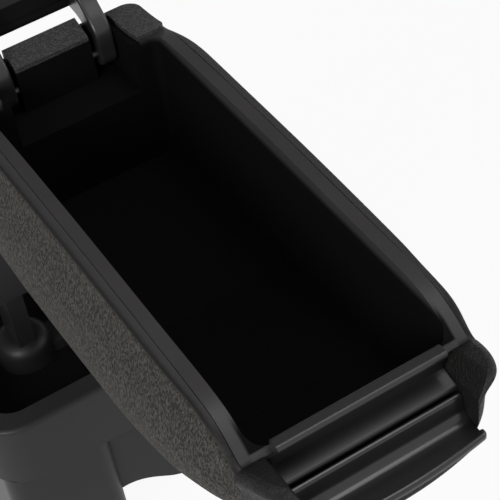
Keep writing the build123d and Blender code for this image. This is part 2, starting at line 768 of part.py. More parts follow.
with BuildPart() as hinge_arm_left:
    with BuildSketch(lid_side.offset(arm_centre - arm_wide / 2)):
        add(arm_profile())
    extrude(amount=arm_wide)
    fillet(hinge_arm_left.edges().filter_by(GeomType.BSPLINE), arm_round)
    with BuildSketch(lid_flat.offset(panel_n - 2 * arm_foot_thick)):
        with Locations((arm_centre, arm_screw_near), (arm_centre, arm_screw_far)):
            Circle(screw_r + pin_play)
    extrude(amount=3 * arm_foot_thick, mode=Mode.SUBTRACT)
hinge_arm_left.part.label = "hinge_arm_left"
export_step(hinge_arm_left.part, "parts/hinge_arm_left.step")

with BuildPart() as hinge_arm_right:
    with BuildSketch(lid_side.offset(-arm_centre - arm_wide / 2)):
        add(arm_profile())
    extrude(amount=arm_wide)
    fillet(hinge_arm_right.edges().filter_by(GeomType.BSPLINE), arm_round)
    with BuildSketch(lid_flat.offset(panel_n - 2 * arm_foot_thick)):
        with Locations((-arm_centre, arm_screw_near), (-arm_centre, arm_screw_far)):
            Circle(screw_r + pin_play)
    extrude(amount=3 * arm_foot_thick, mode=Mode.SUBTRACT)
hinge_arm_right.part.label = "hinge_arm_right"
export_step(hinge_arm_right.part, "parts/hinge_arm_right.step")

arm_screw_spots = [(x, l) for x in (-arm_centre, arm_centre) for l in (arm_screw_near, arm_screw_far)]

# Lid panel: inner moulding with a plug rib, a dip over the rim's front and a hollow nose for the latch
with BuildPart() as lid_panel:
    with BuildSketch(lid_side):
        with BuildLine():
            flat = Line((lid_rear_l, panel_n), (dip_l0, panel_n))
            dip = Spline(flat @ 1, (dip_l1, panel_front_n), tangents=[(1, 0), (1, 0)])
            chin = Polyline(dip @ 1, (lid_front_l, panel_front_n), (lid_front_l, nose_top_n - nose_round))
            brow = TangentArc(chin @ 1, (lid_front_l - nose_round, nose_top_n), tangent=(0, 1))
            back = Polyline(
                brow @ 1, (nose_l, nose_top_n), (nose_l, panel_front_n + panel_thick),
                (dip_l1, panel_front_n + panel_thick),
            )
            rise = Spline(back @ 1, (dip_l0, panel_n + panel_thick), tangents=[(-1, 0), (-1, 0)])
            Polyline(rise @ 1, (lid_rear_l, panel_n + panel_thick), flat @ 0)
        make_face()
    extrude(amount=lid_half, both=True)
    with BuildSketch(lid_flat) as panel_plan:
        with Locations((0, (lid_rear_l + lid_front_l) / 2)):
            Rectangle(2 * lid_half, lid_front_l - lid_rear_l)
        fillet(panel_plan.vertices(), lid_corner)
    extrude(amount=nose_top_n + 10.0, mode=Mode.INTERSECT)
    # Plug rib that drops into the bin's mouth, open where the arms pass
    with BuildSketch(lid_flat.offset(plug_n)) as plug_plan:
        plug_l0 = lid_rear_l + plug_rear
        plug_l1 = dip_l0 - plug_front
        with Locations((0, (plug_l0 + plug_l1) / 2)):
            RectangleRounded(2 * plug_half, plug_l1 - plug_l0, 8.0)
            RectangleRounded(2 * (plug_half - plug_rib),
                plug_l1 - plug_l0 - 2 * plug_rib, 5.0, mode=Mode.SUBTRACT)
        with Locations((arm_centre, lid_rear_l), (-arm_centre, lid_rear_l)):
            Rectangle(arm_wide + 2 * liner_gap, 40.0, mode=Mode.SUBTRACT)
    extrude(amount=panel_n - plug_n)
    # Latch bay and the hollows beside it
    with BuildSketch(lid_side):
        with Locations(((nose_l + lid_front_l) / 2, 0)):
            Rectangle(lid_front_l - nose_l - 2 * nose_wall, 2 * (nose_top_n - nose_wall))
    extrude(amount=latch_bay_half, both=True, mode=Mode.SUBTRACT)
    side_from = latch_bay_half + nose_wall
    side_long = lid_half - lid_corner - side_from
    with BuildSketch(lid_side.offset(side_from)):
        with Locations(((nose_l + lid_front_l) / 2, 0)):
            Rectangle(lid_front_l - nose_l - 2 * nose_wall, 2 * (nose_top_n - nose_wall - nose_round / 3))
    extrude(amount=side_long, mode=Mode.SUBTRACT)
    with BuildSketch(lid_side.offset(-side_from)):
        with Locations(((nose_l + lid_front_l) / 2, 0)):
            Rectangle(lid_front_l - nose_l - 2 * nose_wall, 2 * (nose_top_n - nose_wall - nose_round / 3))
    extrude(amount=-side_long, mode=Mode.SUBTRACT)
    with BuildSketch(lid_side):
        with Locations((latch_l, latch_n)):
            Circle(latch_pin_r + pin_press)
    extrude(amount=side_from, both=True, mode=Mode.SUBTRACT)
    # Holes for the arms' screws
    with BuildSketch(lid_flat.offset(plug_n)):
        with Locations(*arm_screw_spots):
            Circle(screw_r + pin_play)
    extrude(amount=panel_n + panel_thick - plug_n + 1.0, mode=Mode.SUBTRACT)
lid_panel.part.label = "lid_panel"
export_step(lid_panel.part, "parts/lid_panel.step")

# Lid liner: lighter inner plate inside the plug rib, cut back around the arms' feet
with BuildPart() as lid_liner:
    with BuildSketch(lid_flat.offset(panel_n - liner_thick)):
        with Locations((0, (liner_from + liner_to) / 2)):
            RectangleRounded(2 * liner_half, liner_to - liner_from, 6.0)
        foot_end = arm_foot_l + liner_gap
        with Locations((arm_centre, foot_end - 60.0), (-arm_centre, foot_end - 60.0)):
            Rectangle(arm_wide + 2 * liner_gap, 120.0, mode=Mode.SUBTRACT)
    extrude(amount=liner_thick)
lid_liner.part.label = "lid_liner"
export_step(lid_liner.part, "parts/lid_liner.step")

# Lid pad: padded top, crowned both ways
with BuildPart() as lid_pad:
    pad_low = panel_n + panel_thick + pad_gap
    pad_front_low = panel_front_n + panel_thick + pad_gap
    pad_end = nose_l - 2 * pad_gap
    with BuildSketch(lid_side):
        with BuildLine():
            flat = Line((lid_rear_l, pad_low), (dip_l0, pad_low))
            dip = Spline(flat @ 1, (dip_l1, pad_front_low), tangents=[(1, 0), (1, 0)])
            front = Polyline(dip @ 1, (pad_end, pad_front_low), (pad_end, pad_edge_n))
            Spline(
                front @ 1, (pad_end - 16.0, pad_top_n - 4.0), ((lid_rear_l + pad_end) / 2, pad_top_n),
                (lid_rear_l + 18.0, pad_top_n - 4.0), (lid_rear_l, pad_edge_n),
            )
            Line((lid_rear_l, pad_edge_n), flat @ 0)
        make_face()
    extrude(amount=pad_half, both=True)
    with BuildSketch(lid_cross):
        with BuildLine():
            crown = Spline(
                (-pad_half, pad_edge_n - 3.0), (-pad_half + pad_round, pad_top_n - 4.0),
                (0, pad_top_n + 0.3),
                (pad_half - pad_round, pad_top_n - 4.0), (pad_half, pad_edge_n - 3.0),
            )
            Polyline(crown @ 1, (pad_half, 0), (-pad_half, 0), crown @ 0)
        make_face()
    extrude(amount=-lid_front_l, mode=Mode.INTERSECT)
    with BuildSketch(lid_flat) as pad_plan:
        with Locations((0, (lid_rear_l + pad_end) / 2)):
            Rectangle(2 * pad_half, pad_end - lid_rear_l)
        fillet(pad_plan.vertices().group_by(Axis.Y)[0], lid_corner)
    extrude(amount=pad_top_n + 20.0, mode=Mode.INTERSECT)
lid_pad.part.label = "lid_pad"
export_step(lid_pad.part, "parts/lid_pad.step")

# Screws through the arms' feet into the panel
with BuildPart() as arm_screws:
    with BuildSketch(lid_flat.offset(panel_n - arm_foot_thick - screw_head)):
        with Locations(*arm_screw_spots):
            Circle(screw_head_r)
    extrude(amount=screw_head)
    with BuildSketch(lid_flat.offset(panel_n - arm_foot_thick)):
        with Locations(*arm_screw_spots):
            Circle(screw_r)
    extrude(amount=arm_foot_thick + panel_thick)
arm_screws.part.label = "arm_screws"
export_step(arm_screws.part, "parts/arm_screws.step")

# Rubber bumpers under the panel's edge
with BuildPart() as lid_bumpers:
    with BuildSketch(lid_flat.offset(panel_n - bumper_thick)):
        with Locations((bumper_x, bumper_near), (-bumper_x, bumper_near), (bumper_x, bumper_far),
            (-bumper_x, bumper_far)):
            Circle(bumper_r)
    extrude(amount=bumper_thick)
lid_bumpers.part.label = "lid_bumpers"
export_step(lid_bumpers.part, "parts/lid_bumpers.step")

# Latch lever: split hub on its pin, hanging plate, hook behind it and pull tab ahead of it
hook_top = bar_low - lid_pin_z - hook_gap
hook_tip = bin_front_l + bar_reach - hook_bite
with BuildPart() as latch_lever:
    with BuildSketch(lid_side):
        with Locations((latch_l, latch_n)):
            Circle(latch_hub)
        with BuildLine():
            Polyline(
                (latch_l - latch_arm / 2, latch_n), (latch_l - latch_arm / 2, hook_top),
                (hook_tip, hook_top),
                (hook_tip, hook_top - hook_thick / 3), (latch_l - latch_arm / 2, hook_top - hook_thick),
                (latch_l - latch_arm / 2, latch_tab_n), (latch_l + latch_tab, latch_tab_n),
                (latch_l + latch_tab, latch_tab_n + latch_arm),
                (latch_l + latch_arm / 2, latch_tab_n + latch_arm),
                (latch_l + latch_arm / 2, latch_n), close=True,
            )
        make_face()
        with Locations((latch_l, latch_n)):
            Circle(latch_pin_r + pin_play, mode=Mode.SUBTRACT)
    extrude(amount=latch_half, both=True)
    with BuildSketch(lid_side):
        with Locations((latch_l, latch_n)):
            Circle(latch_hub + 0.6)
    extrude(amount=spring_bay_half, both=True, mode=Mode.SUBTRACT)
latch_lever.part.label = "latch_lever"
export_step(latch_lever.part, "parts/latch_lever.step")

with BuildPart() as latch_pin:
    with BuildSketch(lid_side):
        with Locations((latch_l, latch_n)):
            Circle(latch_pin_r)
    extrude(amount=latch_bay_half + nose_wall, both=True)
latch_pin.part.label = "latch_pin"
export_step(latch_pin.part, "parts/latch_pin.step")

# Latch return spring, coiled round the pin in the hub's gap
pin_y = lid_pin_y + latch_l * lid_l[1] + latch_n * lid_n[1]
pin_z = lid_pin_z + latch_l * lid_l[2] + latch_n * lid_n[2]
with BuildPart() as latch_spring:
    with BuildLine() as coil:
        Helix(pitch=spring_pitch, height=2 * spring_half, radius=spring_r, center=(-spring_half,
            pin_y, pin_z), direction=(1, 0, 0))
    with BuildSketch(Plane(origin=coil.line @ 0, z_dir=coil.line % 0)):
        Circle(spring_wire)
    sweep()
latch_spring.part.label = "latch_spring"
export_step(latch_spring.part, "parts/latch_spring.step")

# Console base: block with an open tray on top, two hollow legs and a skirt between them
leg_mid = (leg_in + leg_out) / 2
leg_deep = base_deep - leg_back
block_low = base_top - base_block
tray_floor = base_top - base_recess
under_floor = tray_floor - base_wall
bolt_y = leg_deep - foot_flange / 2
boss_mid = (upright_in + upright_out) / 2
pedestal_spots = [
    (side * boss_mid + shift, pivot_y) for side in (-1, 1) for shift in (-pedestal_screw_side,
    pedestal_screw_side)
]
with BuildPart() as base_adapter:
    with BuildSketch(Plane.XY.offset(block_low)):
        RectangleRounded(2 * base_half, 2 * base_deep, base_corner)
    extrude(amount=base_block)
    fillet(base_adapter.faces().sort_by(Axis.Z)[-1].edges(), 3.0)
    with BuildSketch(Plane.XY):
        with Locations((leg_mid, 0), (-leg_mid, 0)):
            RectangleRounded(leg_out - leg_in, 2 * leg_deep, leg_corner)
    extrude(amount=block_low)
    with BuildSketch(Plane.XY.offset(tray_floor)):
        RectangleRounded(2 * (base_half - base_rim), 2 * (base_deep - base_rim), recess_corner)
    extrude(amount=base_recess, mode=Mode.SUBTRACT)
    # Hollow between the legs, open below
    with BuildSketch(Plane.XY.offset(block_low)):
        Rectangle(2 * leg_in, 2 * (base_deep - base_wall))
    extrude(amount=under_floor - block_low, mode=Mode.SUBTRACT)
    # Hollow legs with a flanged foot
    with BuildSketch(Plane.XY.offset(foot_thick)):
        with Locations((leg_mid, 0), (-leg_mid, 0)):
            RectangleRounded(leg_out - leg_in - 2 * base_wall, 2 * (leg_deep - base_wall),
                leg_corner - base_wall)
    extrude(amount=under_floor - foot_thick, mode=Mode.SUBTRACT)
    with BuildSketch(Plane.XY):
        with Locations((leg_mid, 0), (-leg_mid, 0)):
            RectangleRounded(leg_out - leg_in - 2 * foot_flange, 2 * (leg_deep - foot_flange), 6.0)
        with GridLocations(2 * leg_mid, 2 * bolt_y, 2, 2):
            Circle(bolt_r)
    extrude(amount=foot_thick, mode=Mode.SUBTRACT)
    # Channel inside the block's thick rim
    with BuildSketch(Plane.XY.offset(block_low + base_wall)):
        RectangleRounded(2 * (base_half - base_wall), 2 * (base_deep - base_wall), base_corner - base_wall)
        RectangleRounded(2 * (base_half - base_rim + base_wall), 2 * (base_deep - base_rim + base_wall),
                         recess_corner + base_wall, mode=Mode.SUBTRACT)
    extrude(amount=base_block - 2 * base_wall, mode=Mode.SUBTRACT)
    # Skirts set back from the legs' faces, with a bowed lower edge
    for face in (-leg_deep + skirt_back, leg_deep - skirt_back - base_wall):
        with BuildSketch(Plane.XZ.offset(-face - base_wall)):
            with BuildLine():
                fall = skirt_side_z - skirt_mid_z
                right_hem = [(k * leg_in, skirt_mid_z + f * fall) for k, f in ((0.25, 0.19),
                    (0.5, 0.60), (0.72, 0.89))]
                left_hem = [(-x, z) for x, z in reversed(right_hem)]
                hem = Spline(
                    [(-leg_in - 1.0, skirt_side_z)] + left_hem + [(0, skirt_mid_z)] + right_hem
                    + [(leg_in + 1.0, skirt_side_z)],
                )
                Polyline(hem @ 1, (leg_in + 1.0, under_floor), (-leg_in - 1.0, under_floor), hem @ 0)
            make_face()
        extrude(amount=base_wall)
    with BuildSketch(Plane.XY.offset(under_floor)):
        with Locations(*pedestal_spots):
            Circle(screw_r + pin_play)
    extrude(amount=base_wall, mode=Mode.SUBTRACT)
base_adapter.part.label = "base_adapter"
export_step(base_adapter.part, "parts/base_adapter.step")

# Pivot bracket: two rounded bosses with uprights, joined by a strap
with BuildPart() as pivot_bracket:
    with BuildSketch(Plane.XY.offset(tray_floor)):
        with Locations((boss_mid, pivot_y), (-boss_mid, pivot_y)):
            Circle(pivot_boss_r)
    extrude(amount=boss_tall)
    fillet(pivot_bracket.faces().group_by(Axis.Z)[-1].edges(), boss_round)
    with BuildSketch(Plane.XY.offset(tray_floor)):
        with Locations((0, pivot_y)):
            Rectangle(2 * boss_mid, 2 * strap_half)
    extrude(amount=strap_tall)
    with BuildSketch(Plane.YZ.offset(upright_in)):
        with Locations((pivot_y, (tray_floor + tilt_z) / 2)):
            Rectangle(2 * upright_half, tilt_z - tray_floor)
        with Locations((pivot_y, tilt_z)):
            Circle(upright_half)
    extrude(amount=upright_out - upright_in)
    with BuildSketch(Plane.YZ.offset(-upright_in)):
        with Locations((pivot_y, (tray_floor + tilt_z) / 2)):
            Rectangle(2 * upright_half, tilt_z - tray_floor)
        with Locations((pivot_y, tilt_z)):
            Circle(upright_half)
    extrude(amount=upright_in - upright_out)
    with BuildSketch(Plane.YZ):
        with Locations((pivot_y, tilt_z)):
            Circle(axle_r + pin_press)
    extrude(amount=base_half, both=True, mode=Mode.SUBTRACT)
    with BuildSketch(Plane.XY.offset(tray_floor)):
        with Locations(*pedestal_spots):
            Circle(screw_r + pin_play)
    extrude(amount=screw_bite + screw_room, mode=Mode.SUBTRACT)
pivot_bracket.part.label = "pivot_bracket"
export_step(pivot_bracket.part, "parts/pivot_bracket.step")

with BuildPart() as pedestal_screws:
    with BuildSketch(Plane.XY.offset(under_floor - screw_head)):
        with Locations(*pedestal_spots):
            Circle(screw_head_r)
    extrude(amount=screw_head)
    with BuildSketch(Plane.XY.offset(under_floor)):
        with Locations(*pedestal_spots):
            Circle(screw_r)
    extrude(amount=base_wall + screw_bite)
pedestal_screws.part.label = "pedestal_screws"
export_step(pedestal_screws.part, "parts/pedestal_screws.step")

# Tilt bracket: plate on the body's underside with a pair of lugs and a stop web at each upright
lug_gap = washer_thick + 2 * washer_play
inner_lug = upright_in - lug_gap - lug_thick
outer_lug = upright_out + lug_gap
bracket_out = outer_lug + lug_thick
web_back = upright_half + buffer_thick + stop_gap
bridge_low = tilt_z + upright_half + bridge_drop - 5.0
lug_tall = bridge_low + bridge_tall - tilt_z
with BuildPart() as tilt_bracket:
    with Locations((0, 0, plate_low)):
        Box(2 * (inner_lug + lug_thick), 2 * plate_half_y, 2 * plate_drop, align=(Align.CENTER,
            Align.CENTER, Align.MIN))
    for side in (-1, 1):
        with Locations((side * (inner_lug + bracket_out) / 2,
            pivot_y + (lug_half - web_back - stop_web) / 2, bridge_low)):
            Box(bracket_out - inner_lug, lug_half + web_back + stop_web, bridge_tall,
                align=(Align.CENTER, Align.CENTER, Align.MIN))
        with Locations((side * (inner_lug + bracket_out) / 2, pivot_y - web_back - stop_web / 2,
            tilt_z - stop_web_low)):
            Box(bracket_out - inner_lug, stop_web, lug_tall + stop_web_low, align=(Align.CENTER,
                Align.CENTER, Align.MIN))
        for start in (inner_lug, outer_lug):
            with BuildSketch(Plane.YZ.offset(side * start)):
                with Locations((pivot_y, tilt_z)):
                    Circle(lug_half)
                with Locations((pivot_y, tilt_z + lug_tall / 2)):
                    Rectangle(2 * lug_half, lug_tall)
                with Locations((pivot_y - web_back / 2 - 1.0, tilt_z)):
                    Rectangle(web_back + 2.0, 2 * stop_web_low)
            extrude(amount=side * lug_thick)
    add(hull_solid.part, mode=Mode.SUBTRACT)
    with BuildSketch(Plane.YZ):
        with Locations((pivot_y, tilt_z)):
            Circle(axle_r + bush_wall + pin_press)
    extrude(amount=base_half, both=True, mode=Mode.SUBTRACT)
    with BuildSketch(Plane.XY.offset(plate_low)):
        with Locations(*plate_spots):
            Circle(screw_r + pin_play)
    extrude(amount=2 * plate_drop, mode=Mode.SUBTRACT)
tilt_bracket.part.label = "tilt_bracket"
export_step(tilt_bracket.part, "parts/tilt_bracket.step")

with BuildPart() as bracket_screws:
    with BuildSketch(Plane.XY.offset(plate_low - screw_head)):
        with Locations(*plate_spots):
            Circle(screw_head_r)
    extrude(amount=screw_head)
    with BuildSketch(Plane.XY.offset(plate_low)):
        with Locations(*plate_spots):
            Circle(screw_r)
    extrude(amount=plate_drop + screw_bite)
bracket_screws.part.label = "bracket_screws"
export_step(bracket_screws.part, "parts/bracket_screws.step")

with BuildPart() as tray_screws:
    with Locations(*tray_screw_spots):
        Cylinder(screw_head_r, screw_head, align=(Align.CENTER, Align.CENTER, Align.MAX))
        Cylinder(screw_r, tray_screw_long, align=(Align.CENTER, Align.CENTER, Align.MIN))
tray_screws.part.label = "tray_screws"
export_step(tray_screws.part, "parts/tray_screws.step")

# Axle through both uprights, with a nut outside each pair of lugs
nut_from = bracket_out + nut_gap
axle_half = nut_from + nut_thick + axle_over
with BuildPart() as tilt_axle:
    with BuildSketch(Plane.YZ):
        with Locations((pivot_y, tilt_z)):
            Circle(axle_r)
    extrude(amount=axle_half, both=True)
tilt_axle.part.label = "tilt_axle"
export_step(tilt_axle.part, "parts/tilt_axle.step")

with BuildPart() as axle_nuts:
    for side in (-1, 1):
        with BuildSketch(Plane.YZ.offset(side * nut_from)):
            with Locations((pivot_y, tilt_z)):
                RegularPolygon(nut_flats / 2, 6, major_radius=False)
                Circle(axle_r + pin_press, mode=Mode.SUBTRACT)
        extrude(amount=side * nut_thick)
axle_nuts.part.label = "axle_nuts"
export_step(axle_nuts.part, "parts/axle_nuts.step")

with BuildPart() as axle_bushes:
    for side in (-1, 1):
        for start in (inner_lug, outer_lug):
            with BuildSketch(Plane.YZ.offset(side * start)):
                with Locations((pivot_y, tilt_z)):
                    Circle(axle_r + bush_wall)
                    Circle(axle_r + pin_play, mode=Mode.SUBTRACT)
            extrude(amount=side * lug_thick)
axle_bushes.part.label = "axle_bushes"
export_step(axle_bushes.part, "parts/axle_bushes.step")

with BuildPart() as friction_washers:
    for side in (-1, 1):
        for start in (upright_in - washer_play - washer_thick, upright_out + washer_play):
            with BuildSketch(Plane.YZ.offset(side * start)):
                with Locations((pivot_y, tilt_z)):
                    Circle(washer_r)
                    Circle(axle_r + pin_play, mode=Mode.SUBTRACT)
            extrude(amount=side * washer_thick)
friction_washers.part.label = "friction_washers"
export_step(friction_washers.part, "parts/friction_washers.step")

# Rubber stops on the uprights' front faces, where the armrest's stop webs come to rest
with BuildPart() as stop_buffers:
    buffer_y = pivot_y - upright_half
    with Locations((boss_mid, buffer_y, tilt_z - buffer_drop), (-boss_mid, buffer_y, tilt_z - buffer_drop)):
        Box(2 * buffer_half_x, buffer_thick, buffer_tall, align=(Align.CENTER, Align.MAX, Align.CENTER))
stop_buffers.part.label = "stop_buffers"
export_step(stop_buffers.part, "parts/stop_buffers.step")
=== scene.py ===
from math import radians

import bpy
from mathutils import Matrix, Vector


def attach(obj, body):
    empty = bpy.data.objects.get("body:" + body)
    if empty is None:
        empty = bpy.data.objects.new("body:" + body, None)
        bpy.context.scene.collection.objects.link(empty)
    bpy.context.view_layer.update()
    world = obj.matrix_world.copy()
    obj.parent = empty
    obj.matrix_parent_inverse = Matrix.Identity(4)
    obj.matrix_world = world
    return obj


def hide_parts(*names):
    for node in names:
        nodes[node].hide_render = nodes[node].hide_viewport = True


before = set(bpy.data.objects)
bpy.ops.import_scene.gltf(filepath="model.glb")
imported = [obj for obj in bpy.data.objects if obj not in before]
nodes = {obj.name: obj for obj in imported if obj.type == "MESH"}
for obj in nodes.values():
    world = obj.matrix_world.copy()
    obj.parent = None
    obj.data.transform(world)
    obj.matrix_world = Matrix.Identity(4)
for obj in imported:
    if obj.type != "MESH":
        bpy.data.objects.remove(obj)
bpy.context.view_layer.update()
scene = bpy.context.scene
scene.view_settings.view_transform = "Standard"


# Camera at the photograph's viewpoint
camera_spot = Vector((-0.2225, -0.6842, 0.8727))
camera_right = Vector((0.8466, -0.5185, -0.1172)).normalized()
camera_back = Vector((-0.2975, -0.6450, 0.7039)).normalized()
camera_data = bpy.data.cameras.new("view")
camera_data.sensor_width = 36.0
camera_data.sensor_height = 36.0
camera_data.sensor_fit = "HORIZONTAL"
camera_data.lens = 117.42
camera_data.clip_start = 0.05
camera_data.clip_end = 20.0
camera = bpy.data.objects.new("view", camera_data)
scene.collection.objects.link(camera)
camera_up = camera_back.cross(camera_right).normalized()
camera_right = camera_up.cross(camera_back).normalized()
camera_turn = Matrix((camera_right, camera_up, camera_back)).transposed().to_4x4()
camera.matrix_world = Matrix.Translation(camera_spot) @ camera_turn
scene.camera = camera


# Small helpers for node trees

def calc(tree, kind, first, second=0.0):
    node = tree.nodes.new("ShaderNodeMath")
    node.operation = kind
    for socket, value in zip(node.inputs, (first, second)):
        if isinstance(value, (int, float)):
            socket.default_value = value
        else:
            tree.links.new(value, socket)
    return node.outputs["Value"]


def plus(tree, first, second):
    return calc(tree, "ADD", first, second)


def times(tree, first, second):
    return calc(tree, "MULTIPLY", first, second)


def larger(tree, first, second):
    return calc(tree, "MAXIMUM", first, second)


def vector_calc(tree, kind, first, second):
    node = tree.nodes.new("ShaderNodeVectorMath")
    node.operation = kind
    tree.links.new(first, node.inputs[0])
    second_socket = node.inputs["Scale"] if kind == "SCALE" else node.inputs[1]
    if isinstance(second, tuple):
        second_socket.default_value = second
    else:
        tree.links.new(second, second_socket)
    return node.outputs["Vector"]


def split_axes(tree, vector):
    node = tree.nodes.new("ShaderNodeSeparateXYZ")
    tree.links.new(vector, node.inputs["Vector"])
    return node.outputs["X"], node.outputs["Y"], node.outputs["Z"]


def spread(tree, value, limits, start=0.0, end=1.0):
    # Runs softly from start to end while the value passes its two limits
    node = tree.nodes.new("ShaderNodeMapRange")
    node.interpolation_type = "SMOOTHSTEP"
    tree.links.new(value, node.inputs["Value"])
    node.inputs["From Min"].default_value = limits[0]
    node.inputs["From Max"].default_value = limits[1]
    node.inputs["To Min"].default_value = start
    node.inputs["To Max"].default_value = end
    return node.outputs["Result"]


def fade(tree, value, limits):
    return spread(tree, value, limits, 1.0, 0.0)


def noise(tree, vector, scale, detail):
    node = tree.nodes.new("ShaderNodeTexNoise")
    node.inputs["Detail"].default_value = detail
    tree.links.new(vector, node.inputs["Vector"])
    tree.links.new(scale, node.inputs["Scale"])
    return node


# Shared effects, each built once as a node group

full_range = (0.0, 1.0)

# Leather grain: widths go by the group's Scale, heights by shares of 1
grain_draw = (1.0, 1.0, 0.45)
grain_middle = (0.5, 0.5, 0.5)
drift_scale = 0.4
drift_reach = 1.6
cell_scales = (1.0, 2.2)
cell_slope = (0.0, 0.42)
fold_scale = 0.8
fold_twist = 0.6
fold_slope = (0.36, 0.64)
cell_shares = (0.30, 0.15)
fold_share = 0.55
crease_share = 0.45

# Mould texture: slow noise between these limits makes the tone
patch_limits = (0.3, 0.7)


def new_group(name, inputs, outputs):
    tree = bpy.data.node_groups.new(name, "ShaderNodeTree")
    for label, kind, value in inputs:
        socket = tree.interface.new_socket(label, in_out="INPUT", socket_type=kind)
        if value is not None:
            socket.default_value = value
    for label in outputs:
        tree.interface.new_socket(label, in_out="OUTPUT", socket_type="NodeSocketFloat")
    return tree, tree.nodes.new("NodeGroupInput"), tree.nodes.new("NodeGroupOutput")


def leather_grain_group():
    # Soft folds over raised cells of two sizes, with creases between the larger cells. The Shade output
    # follows the folds for painted light and shade, and the crease output marks the creases for painted
    # shade
    tree, entry, out = new_group(
        "leather_grain",
        [("Vector", "NodeSocketVector", None), ("Scale", "NodeSocketFloat", 600.0)],
        ["Height", "CreaseShade", "Shade"],
    )
    scale = entry.outputs["Scale"]
    drawn = vector_calc(tree, "MULTIPLY", entry.outputs["Vector"], grain_draw)
    drift = noise(tree, drawn, times(tree, scale, drift_scale), 2.0)
    centred = vector_calc(tree, "SUBTRACT", drift.outputs["Color"], grain_middle)
    pushed = vector_calc(tree, "SCALE", centred, calc(tree, "DIVIDE", drift_reach, scale))
    place = vector_calc(tree, "ADD", drawn, pushed)
    heights = []
    for cell_scale in cell_scales:
        cells = tree.nodes.new("ShaderNodeTexVoronoi")
        cells.feature = "DISTANCE_TO_EDGE"
        tree.links.new(place, cells.inputs["Vector"])
        tree.links.new(times(tree, scale, cell_scale), cells.inputs["Scale"])
        heights.append(spread(tree, cells.outputs["Distance"], cell_slope))
    wrinkle = noise(tree, drawn, times(tree, scale, fold_scale), 2.0)
    wrinkle.inputs["Distortion"].default_value = fold_twist
    folds = spread(tree, wrinkle.outputs["Fac"], fold_slope)
    big, small = (times(tree, height, share) for height, share in zip(heights, cell_shares))
    pebbles = plus(tree, big, small)
    crease_shade = calc(tree, "SUBTRACT", 1.0, heights[0])
    tree.links.new(plus(tree, pebbles, times(tree, folds, fold_share)), out.inputs["Height"])
    tree.links.new(times(tree, crease_shade, crease_share), out.inputs["CreaseShade"])
    tree.links.new(folds, out.inputs["Shade"])
    return tree


def mould_texture_group():
    # Fine spark-eroded texture of moulded plastic, and slow tone changes over a surface
    tree, entry, out = new_group(
        "mould_texture",
        [("Vector", "NodeSocketVector", None), ("Scale", "NodeSocketFloat", 2500.0),
         ("Patch", "NodeSocketFloat", 18.0)],
        ["Height", "Tone"],
    )
    fine = noise(tree, entry.outputs["Vector"], entry.outputs["Scale"], 3.0)
    slow = noise(tree, entry.outputs["Vector"], entry.outputs["Patch"], 4.0)
    slow.inputs["Roughness"].default_value = 0.6
    tree.links.new(fine.outputs["Fac"], out.inputs["Height"])
    tree.links.new(spread(tree, slow.outputs["Fac"], patch_limits), out.inputs["Tone"])
    return tree


leather_grain = leather_grain_group()
mould_texture = mould_texture_group()


# Materials

def place_group(tree, group, coords, **values):
    node = tree.nodes.new("ShaderNodeGroup")
    node.node_tree = group
    tree.links.new(coords.outputs["Object"], node.inputs["Vector"])
    for label, value in values.items():
        node.inputs[label].default_value = value
    return node


def tint(tree, factor, first, second):
    # Goes from the first colour to the second; each is a plain colour or another node's
    node = tree.nodes.new("ShaderNodeMix")
    node.data_type = "RGBA"
    tree.links.new(factor, node.inputs["Factor"])
    for label, colour in (("A", first), ("B", second)):
        socket = [s for s in node.inputs if s.name == label and s.type == "RGBA"][0]
        if isinstance(colour, tuple):
            socket.default_value = (*colour, 1.0)
        else:
            tree.links.new(colour, socket)
    return [s for s in node.outputs if s.type == "RGBA"][0]


def scaled(colour, k):
    return tuple(c * k for c in colour)


def shaded(tree, factor, colour, darker, lighter):
    return tint(tree, factor, scaled(colour, darker), scaled(colour, lighter))


def bump(tree, height, distance, strength):
    node = tree.nodes.new("ShaderNodeBump")
    node.inputs["Distance"].default_value = distance
    tree.links.new(height, node.inputs["Height"])
    if isinstance(strength, (int, float)):
        node.inputs["Strength"].default_value = strength
    else:
        tree.links.new(strength, node.inputs["Strength"])
    return node.outputs["Normal"]


def finish_material(name, specular, coat=0.0, coat_roughness=0.3, metallic=0.0):
    material = bpy.data.materials.new(name)
    material.use_nodes = True
    tree = material.node_tree
    shader = tree.nodes["Principled BSDF"]
    shader.inputs["Specular IOR Level"].default_value = specular
    shader.inputs["Coat Weight"].default_value = coat
    shader.inputs["Coat Roughness"].default_value = coat_roughness
    shader.inputs["Metallic"].default_value = metallic
    coords = tree.nodes.new("ShaderNodeTexCoord")
    return material, tree, shader, coords


# Grained finishes: the grain starts where the shell's side turns down, by its normal's height
grain_strength = 0.9
grain_start = (0.45, 0.75)
# Painted shade turns into a painted sheen across the smooth band between these heights of its normal
band_shade_to_sheen = (0.76, 0.97)
# Painted shade in the creases darkens the colour to this share
crease_shade_scale = 0.40
grain_mould_share = 0.12


